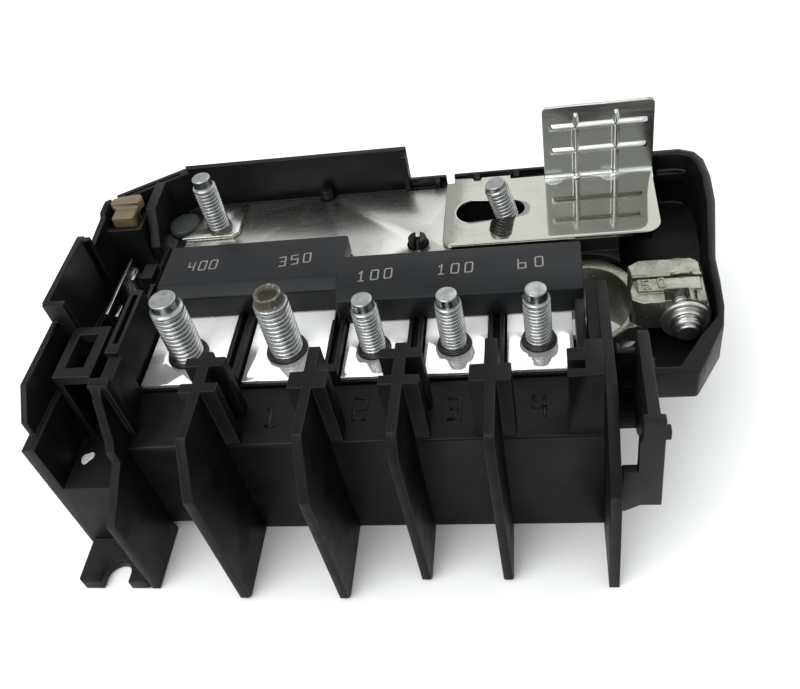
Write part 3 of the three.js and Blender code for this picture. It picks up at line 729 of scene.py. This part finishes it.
class FUSE_PANEL_OT_carrier(bpy.types.Operator):
    """Rounds the black mouldings and raises the way numbers and the paint mark on them"""

    bl_idname = "fuse_panel.carrier"
    bl_label = "Carrier mouldings"

    def execute(self, context):
        m = context.scene.fuse_panel_mouldings
        finishes = black_finishes(m)
        radii = {"battery_hood": m.edge * 2.4, "front_skirt": m.edge * 1.6, "divider_6": m.edge * 0.6}
        for node in ["carrier_tray", "front_skirt", "side_box", "side_frame", "end_bracket", "battery_hood"]:
            softened(node, finishes, radii.get(node, m.edge))
        # Painted shade: the dividers take a darker copy of the carrier black, and their rounded edges the plain
        # carrier black.
        wing_painted_shade = black_plastic("wing black", tuple(m.black), 0.5, m.grain, painted_light_scale=0.62)
        for node in [n for n in frame["nodes"] if n.startswith("divider_")]:
            softened(node, [wing_painted_shade, finishes[0]], radii.get(node, m.edge))
        numerals = []
        for text, (x, y) in WAYS:
            z = APRON_EDGE[1] - APRON_SLOPE * (APRON_EDGE[0] - y)
            shape = number(text, length=3.4, height=5.2, stroke=0.7, raised=0.14)
            numerals.append(placed(shape, (x, y, z), plane_turn((1, 0), APRON_SLOPE)))
        new_piece("way_numbers", joined(*numerals), [finishes[1]], "panel")
        t = 2 * np.pi * np.arange(28) / 28
        radius = 1.35 + 0.28 * np.sin(2 * t + 0.6) + 0.16 * np.sin(3 * t)
        blob = np.stack([0.95 * radius * np.cos(t), 1.3 * radius * np.sin(t)], -1)
        mark = placed(slab(blob, low=0, high=0.18, edge=0.12), PAINT_PLACE)
        paint = ink("white paint", (0.75, 0.75, 0.72))
        new_piece("paint_mark", mark, [paint], "panel")
        low, high = box("rear_disc")
        foot = ((low + high) / 2 - DATUM) / MM
        base, top = (low[2] - DATUM[2]) / MM, (high[2] - DATUM[2]) / MM + CAP_RISE
        rim = np.array([
            [4.35, base], [4.35, top - 0.7], [4.2, top - 0.35], [3.85, top - 0.1], [3.3, top], [0.4, top + 0.1],
        ])
        turns = 48
        cap = placed(turned(np.repeat(rim[:, :1], turns, 1), rim[:, 1], turns), (foot[0], foot[1], 0))
        piece = new_piece(
            "rear_cap", cap, [slate_plastic("rear disc", (0.026, 0.029, 0.03))], "panel"
        )
        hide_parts("rear_disc")
        return {"FINISHED"}


class FUSE_PANEL_OT_fuse(bpy.types.Operator):
    """Rounds the slate fuse body and prints the ratings on its top"""

    bl_idname = "fuse_panel.fuse"
    bl_label = "Fuse body"

    def execute(self, context):
        m = context.scene.fuse_panel_mouldings
        p = context.scene.fuse_panel_print
        slate = slate_plastic("fuse slate", tuple(m.slate))
        softened("fuse_body", [slate], 0.5, segments=3, angle=20)
        rows = []
        for text, left, right in RATINGS:
            along = np.subtract(right, left)
            length = float(np.hypot(*along))
            shape = number(text, length, p.digit_height, p.stroke, raised=0.03, slant=0.06)
            rows.append(placed(shape, (*left, FUSE_TOP), plane_turn(along)))
        new_piece("ratings", joined(*rows), [ink("rating ink", tuple(p.ink))], "panel")
        return {"FINISHED"}


class FUSE_PANEL_OT_strips(bpy.types.Operator):
    """Gives the busbar, output tabs and small plates rounded edges and tin"""

    bl_idname = "fuse_panel.strips"
    bl_label = "Plated strips"

    def execute(self, context):
        m = context.scene.fuse_panel_metals
        busbar = tin("busbar tin", tuple(m.busbar), gloss=0.27, stain=0.5)
        strip = tin("strip tin", tuple(m.busbar), gloss=0.2, stain=0.5)
        square = tin("stud plate tin", tuple(m.busbar), gloss=0.24, stain=0.8)
        softened("busbar", [busbar], 0.12)
        softened("rear_stud_plate", [square], 0.15)
        for node in ["side_strip", "side_contact_1", "side_contact_2"]:
            softened(node, [strip], 0.1)
        tab = tab_tin("tab tin", tuple(m.tab), satin_from=at(0, 7.5, 0)[1], satin_to=at(0, 12.0, 0)[1])
        for node in [n for n in frame["nodes"] if n.startswith("output_tab")]:
            softened(node, [tab], 0.12)
        link = tin("link tin", tuple(m.tab), gloss=0.2, stain=0.4)
        for node in [n for n in frame["nodes"] if n.startswith("fuse_link")]:
            softened(node, [link], 0.06)
        return {"FINISHED"}


def cable_plate(slot_edge=0.22):
    """Flat plate with rounded front corners, a notched rear edge and its keyhole slot."""
    outline = [(59.6, 62), (59.6, 39.4), *arc(62, 39.4, 2.4, 1, 1.5), *arc(107.6, 41, 4, 1.5, 2)]
    outline += [(111.6, 61), (85, 61), (85, 62.4), (76.2, 62.4), (76.2, 64.3), (68.6, 64.3), (68.4, 62.7)]
    outline += [(66.6, 62.7), (66, 64.3), (61.5, 64.3), (61.5, 62)]
    slot = [*arc(67, 49.7, 4.4, 0.53, 1.47, 24), *arc(76.4, 49.8, 3.3, -0.5, 0.5, 20)]
    return pierced_plate(outline, slot, np.array([71.5, 49.6]), 3.1, 4.1, slot_edge)


def ribbed_shield():
    """Upturned sheet: a bend of radius 1.3, then a wall, pressed forward into rounded ribs.

    The rib height is the largest of the ribs' bumps; a bump is (1 - u squared) to the power 1.3 across a rib, faded
    at its ends, and each upright rib narrows to a dart near the top.
    """
    left, right, top, front, bend = 85.0, 111.7, 24.2, 61.4, 1.3
    turn = np.linspace(0, np.pi / 2, 9)
    foot = np.linspace(front - 3.2, front - bend, 8)[:-1]
    rise = np.linspace(4.1 + bend, top, 130)[1:]
    y = np.concatenate([foot, front - bend + bend * np.sin(turn), np.full(len(rise), front)])
    z = np.concatenate([np.full(len(foot), 4.1), 4.1 + bend - bend * np.cos(turn), rise])
    angle = np.concatenate([np.zeros(len(foot)), turn, np.full(len(rise), np.pi / 2)])
    normal = np.stack([-np.sin(angle), np.cos(angle)], -1)
    x = np.linspace(left, right, 190)
    path = np.concatenate([[0], np.cumsum(np.hypot(np.diff(y), np.diff(z)))])
    level = 4.1 + path - path[len(foot) + len(turn) - 1] + bend
    X, Z = np.meshgrid(x, level)

    def rib(across, along, half, start, end, fade):
        bump = np.clip(1 - (across / half) ** 2, 0, 1) ** 1.3
        begun = smoothstep(start - fade, start + fade, along)
        return bump * begun * (1 - smoothstep(end - fade, end + fade, along))

    ribs = [rib(Z - h, X, 0.95, 87.2, 109.6, 0.5) for h in (11.8, 18.6)]
    ribs += [rib(X - v, Z, 0.85 - 0.35 * smoothstep(19.8, 21.8, Z), 3.6, 21.9, 0.4) for v in (93.0, 102.6)]
    height = 0.75 * np.maximum.reduce(ribs) + 0.05 * np.sin(X * 0.45) * np.sin(Z * 0.3)
    thin = 0.8
    corner = 1.4
    drop = np.where(X < left + corner, left + corner - X, np.where(X > right - corner, X - right + corner, 0))
    share = np.clip((Z - (top - corner)) / corner, 0, 1)
    Z_end = corner - np.sqrt(np.clip(corner**2 - drop**2, 0, None))
    lowered = z[:, None] - Z_end * share * (angle[:, None] > 1.5)

    def side(offset):
        Y = y[:, None] + normal[:, None, 0] * (height + offset)
        return np.stack([X, Y, lowered + normal[:, None, 1] * (height + offset)], -1)

    face, back = side(-0.02), side(-thin - 0.02)
    rows, columns = X.shape
    points = np.concatenate([face, back[:, ::-1]], 1)
    faces = grid_faces(rows, 2 * columns, wrap_columns=True)
    first = list(range(2 * columns))
    return points.reshape(-1, 3), faces + [first[::-1], [(rows - 1) * 2 * columns + i for i in first]]


class FUSE_PANEL_OT_cable_plate(bpy.types.Operator):
    """Forms the cable plate with its slot and its ribbed shield"""

    bl_idname = "fuse_panel.cable_plate"
    bl_label = "Cable plate"

    def execute(self, context):
        m = context.scene.fuse_panel_metals
        plate = tin("plate tin", tuple(m.plate), gloss=0.06, stain=0.35)
        shield = tin("shield tin", tuple(m.shield), gloss=0.2, stain=0.5)
        flat, ribbed = cable_plate(), ribbed_shield()
        index = np.repeat([0, 1], [len(flat[1]), len(ribbed[1])])
        piece = new_piece("cable_plate", placed(joined(flat, ribbed)), [plate, shield], "panel", index)
        tidy = bmesh.new()
        tidy.from_mesh(piece.data)
        bmesh.ops.recalc_face_normals(tidy, faces=tidy.faces)
        tidy.to_mesh(piece.data)
        tidy.free()
        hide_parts("top_plate")
        return {"FINISHED"}


class FUSE_PANEL_OT_studs(bpy.types.Operator):
    """Cuts the threads of the six fixed studs and darkens their collars"""

    bl_idname = "fuse_panel.studs"
    bl_label = "Studs"

    def execute(self, context):
        m = context.scene.fuse_panel_metals
        plated = zinc("zinc plate", tuple(m.zinc))
        worn = rust("rusted point", tuple(m.zinc), brown=(0.085, 0.077, 0.06), share=0.7)
        cup = rust("rusted cup", (0.055, 0.044, 0.03), brown=(0.026, 0.019, 0.012), share=0.7)
        names = ["stud_1", "stud_2", "stud_3", "stud_4", "stud_5", "rear_stud"]
        for name in names:
            low, high = box(name)
            radius = (high[0] - low[0]) / 2 / MM
            pitch = m.large_pitch if radius > 3.5 else m.small_pitch
            length = (high[2] - low[2]) / MM
            hollow = 1.1 if name == "stud_2" else 0.0
            rod = threaded_rod(radius, length, pitch, neck=2.9, point=radius * 0.79, hollow=hollow)
            foot = ((low + high) / 2 - DATUM) / MM
            shape = placed(rod, (foot[0], foot[1], (low[2] - DATUM[2]) / MM))
            stud = new_piece(name + "_thread", shape, [plated, worn, cup], body_name(name))
            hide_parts(name)
            if hollow:
                centre = np.empty(3 * len(stud.data.polygons))
                stud.data.polygons.foreach_get("center", centre)
                centre = centre.reshape(-1, 3)
                middle = (low + high)[:2] / 2
                spread = np.hypot(*(centre[:, :2] - middle).T)
                tip = centre[:, 2] > high[2] - 0.0027
                inside = (spread < 0.0022) & (centre[:, 2] > high[2] - 0.002)
                stud.data.polygons.foreach_set("material_index", np.where(inside, 2, np.where(tip, 1, 0)))
        dark = zinc("dark collar", (0.05, 0.05, 0.048), rough=0.4)
        for node in [n for n in frame["nodes"] if n.startswith("stud_collar")]:
            softened(node, [dark], 0.08)
        return {"FINISHED"}


class FUSE_PANEL_OT_slot_stud(bpy.types.Operator):
    """Cuts the loose stud's thread, with its round neck and flat head below the plate"""

    bl_idname = "fuse_panel.slot_stud"
    bl_label = "Slot stud"

    def execute(self, context):
        m = context.scene.fuse_panel_metals
        lean = -m.slot_stud_lean
        turn = [[math.cos(lean), 0, math.sin(lean)], [0, 1, 0], [-math.sin(lean), 0, math.cos(lean)]]
        points, faces = threaded_rod(2.95, 14, m.small_pitch, neck=1.5, point=2.5)
        rod = (points - [0, 0, 5.4], faces)  # it leans about a point this far up from its foot
        head = slab([(72.4, 45), (78.6, 45), (78.6, 54.2), (72.4, 54.2)], low=-3, high=-0.9, edge=0.3)
        neck = slab(arc(75.6, 49.6, 2.85, 0, 2, 41)[:-1], low=-1.6, high=1.4, edge=0.3)
        shape = joined(placed(rod, (74.8, 49.6, 4), turn), placed(joined(head, neck)))
        plated = zinc("zinc plate loose", tuple(m.zinc), rough=0.22)
        piece = new_piece("slot_stud_thread", shape, [plated], "slot_stud")
        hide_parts("slot_stud")
        return {"FINISHED"}


# Turns a shape's Z to the front, -Y, and its Y to the top.
TO_FRONT = [[1, 0, 0], [0, 0, -1], [0, 1, 0]]


class FUSE_PANEL_OT_clamp(bpy.types.Operator):
    """Finishes the cast post clamp, its threaded pinch bolt and flanged nut"""

    bl_idname = "fuse_panel.clamp"
    bl_label = "Post clamp"

    def execute(self, context):
        m = context.scene.fuse_panel_metals
        cast = cast_metal("tinned casting", tuple(m.cast))
        softened("clamp_body", [cast], 0.26, segments=3)
        numerals = number("50", length=4.6, height=2.5, stroke=0.5, raised=0.22)
        numerals = placed(numerals, (105.2, 16, 5.7), plane_turn((1, 0.1)))
        new_piece("casting_number", numerals, [cast], "panel")
        x, z = PINCH_AXIS["x"], PINCH_AXIS["z"]
        steel = zinc("pinch bolt steel", tuple(m.bolt), rough=0.3)
        rod = threaded_rod(3, 16.6, m.small_pitch, neck=0.9, point=2.2)
        corner = np.pi * (np.arange(6) / 3 + 1 / 6)
        hexagon = 3.8 * np.stack([np.cos(corner), np.sin(corner)], -1)
        head = slab(hexagon, low=-2.5, high=0.3, edge=0.35)
        bolt = placed(joined(rod, head), (x, 24, z), TO_FRONT)
        piece = new_piece("pinch_bolt_thread", bolt, [steel], body_name("clamp_bolt"))
        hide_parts("clamp_bolt")
        # Radius and height of the nut: its dished flange, then its collar.
        dish = [
            (3.04, 0), (4.9, 0), (5.25, 0.25), (5.35, 0.55), (5.2, 0.95), (4.9, 1.08), (4.55, 0.95), (4.1, 0.6),
            (3.85, 0.62), (3.7, 0.85), (3.65, 1.6), (3.5, 1.95), (3.3, 2.05), (3.04, 1.9),
        ]
        nut = placed(turned_ring(dish), (x, 12.2, z), TO_FRONT)
        steel = zinc("nut steel", tuple(m.bolt), rough=0.34)
        piece = new_piece("pinch_nut_dish", nut, [steel], body_name("clamp_nut"))
        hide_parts("clamp_nut")
        return {"FINISHED"}


class FUSE_PANEL_OT_plug(bpy.types.Operator):
    """Rounds the tan plug in the corner"""

    bl_idname = "fuse_panel.plug"
    bl_label = "Corner plug"

    def execute(self, context):
        m = context.scene.fuse_panel_mouldings
        tan = nylon("plug nylon", tuple(m.plug), *PLUG_FADE)
        softened("plug_insert", [tan], 0.6, segments=4, angle=20)
        return {"FINISHED"}


SENSOR_WIDTH = 36.0
FLOOR_GAP, FLOOR_SIZE = 0.0002, 12.0  # metres
SURROUND_COLOUR = (0.97, 0.985, 1.0, 1.0)
# Square lamps that point at the origin: name, place and size in metres, share of the key light's power.
LAMPS = [("key", (-0.35, -0.45, 0.75), 0.7, 1.0), ("rear", (0.3, 0.7, 0.6), 0.9, 0.42)]


class FUSE_PANEL_OT_stage(bpy.types.Operator):
    """Sets the camera, the pale floor and the soft light"""

    bl_idname = "fuse_panel.stage"
    bl_label = "Stage"

    def execute(self, context):
        s = context.scene.fuse_panel_stage
        scene = context.scene
        scene.view_settings.view_transform = "Standard"
        tilt, pan, roll = s.camera_tilt, s.camera_pan, s.camera_roll
        forward = np.array([math.sin(pan) * math.cos(tilt), math.cos(pan) * math.cos(tilt), -math.sin(tilt)])
        right = np.array([math.cos(pan), -math.sin(pan), 0.0])
        down = np.cross(forward, right)
        across = math.cos(roll) * right + math.sin(roll) * down
        below = -math.sin(roll) * right + math.cos(roll) * down
        lens = bpy.data.cameras.new("camera")
        lens.sensor_width, lens.lens = SENSOR_WIDTH, s.focal_length
        lens.clip_start, lens.clip_end = 0.01, 50.0
        camera = bpy.data.objects.new("camera", lens)
        scene.collection.objects.link(camera)
        axes = [[across[i], -below[i], -forward[i], s.camera_place[i]] for i in range(3)]
        camera.matrix_world = Matrix([*axes, [0, 0, 0, 1]])
        scene.camera = camera
        height = CAD_BOX[0][2] - FLOOR_GAP
        half = FLOOR_SIZE / 2
        corners = [(-half, -half, height), (half, -half, height), (half, half, height), (-half, half, height)]
        mesh = bpy.data.meshes.new("floor")
        mesh.from_pydata(corners, [], [[0, 1, 2, 3]])
        mesh.materials.append(floor_finish("pale floor", tuple(s.floor_colour)))
        floor = bpy.data.objects.new("floor", mesh)
        scene.collection.objects.link(floor)
        world = bpy.data.worlds.new("surround")
        world.use_nodes = True
        background = world.node_tree.nodes["Background"]
        background.inputs["Color"].default_value = SURROUND_COLOUR
        background.inputs["Strength"].default_value = s.surround
        scene.world = world
        for name, place, size, share in LAMPS:
            lamp = bpy.data.lights.new(name, "AREA")
            lamp.shape, lamp.size, lamp.energy = "SQUARE", size, s.key_power * share
            light = bpy.data.objects.new(name, lamp)
            scene.collection.objects.link(light)
            light.location = place
            light.rotation_mode = "QUATERNION"
            light.rotation_quaternion = (-Vector(place)).to_track_quat("-Z", "Y")
        return {"FINISHED"}


class FUSE_PANEL_PT_sidebar(bpy.types.Panel):
    """Lists the panel's pieces and settings"""

    bl_idname = "FUSE_PANEL_PT_sidebar"
    bl_label = "Fuse Panel"
    bl_space_type = "VIEW_3D"
    bl_region_type = "UI"
    bl_category = "Fuse Panel"

    def draw(self, context):
        for operator in OPERATORS:
            self.layout.operator(operator.bl_idname)
        for group in GROUPS:
            settings = getattr(context.scene, group)
            self.layout.separator()
            for name in settings.bl_rna.properties.keys():
                if name not in ("rna_type", "name"):
                    self.layout.prop(settings, name)


GROUPS = {
    "fuse_panel_stage": FusePanelStage,
    "fuse_panel_mouldings": FusePanelMouldings,
    "fuse_panel_metals": FusePanelMetals,
    "fuse_panel_print": FusePanelPrint,
}
OPERATORS = [
    FUSE_PANEL_OT_stage,
    FUSE_PANEL_OT_carrier,
    FUSE_PANEL_OT_fuse,
    FUSE_PANEL_OT_strips,
    FUSE_PANEL_OT_cable_plate,
    FUSE_PANEL_OT_studs,
    FUSE_PANEL_OT_slot_stud,
    FUSE_PANEL_OT_clamp,
    FUSE_PANEL_OT_plug,
]


def register():
    for cls in [*GROUPS.values(), *OPERATORS, FUSE_PANEL_PT_sidebar]:
        bpy.utils.register_class(cls)
    for name, cls in GROUPS.items():
        setattr(bpy.types.Scene, name, bpy.props.PointerProperty(type=cls))


def unregister():
    for name in GROUPS:
        delattr(bpy.types.Scene, name)
    for cls in [FUSE_PANEL_PT_sidebar, *reversed(OPERATORS), *reversed(list(GROUPS.values()))]:
        bpy.utils.unregister_class(cls)


def main():
    register()
    for operator in OPERATORS:
        group, name = operator.bl_idname.split(".")
        getattr(getattr(bpy.ops, group), name)()


if __name__ == "__main__":
    main()
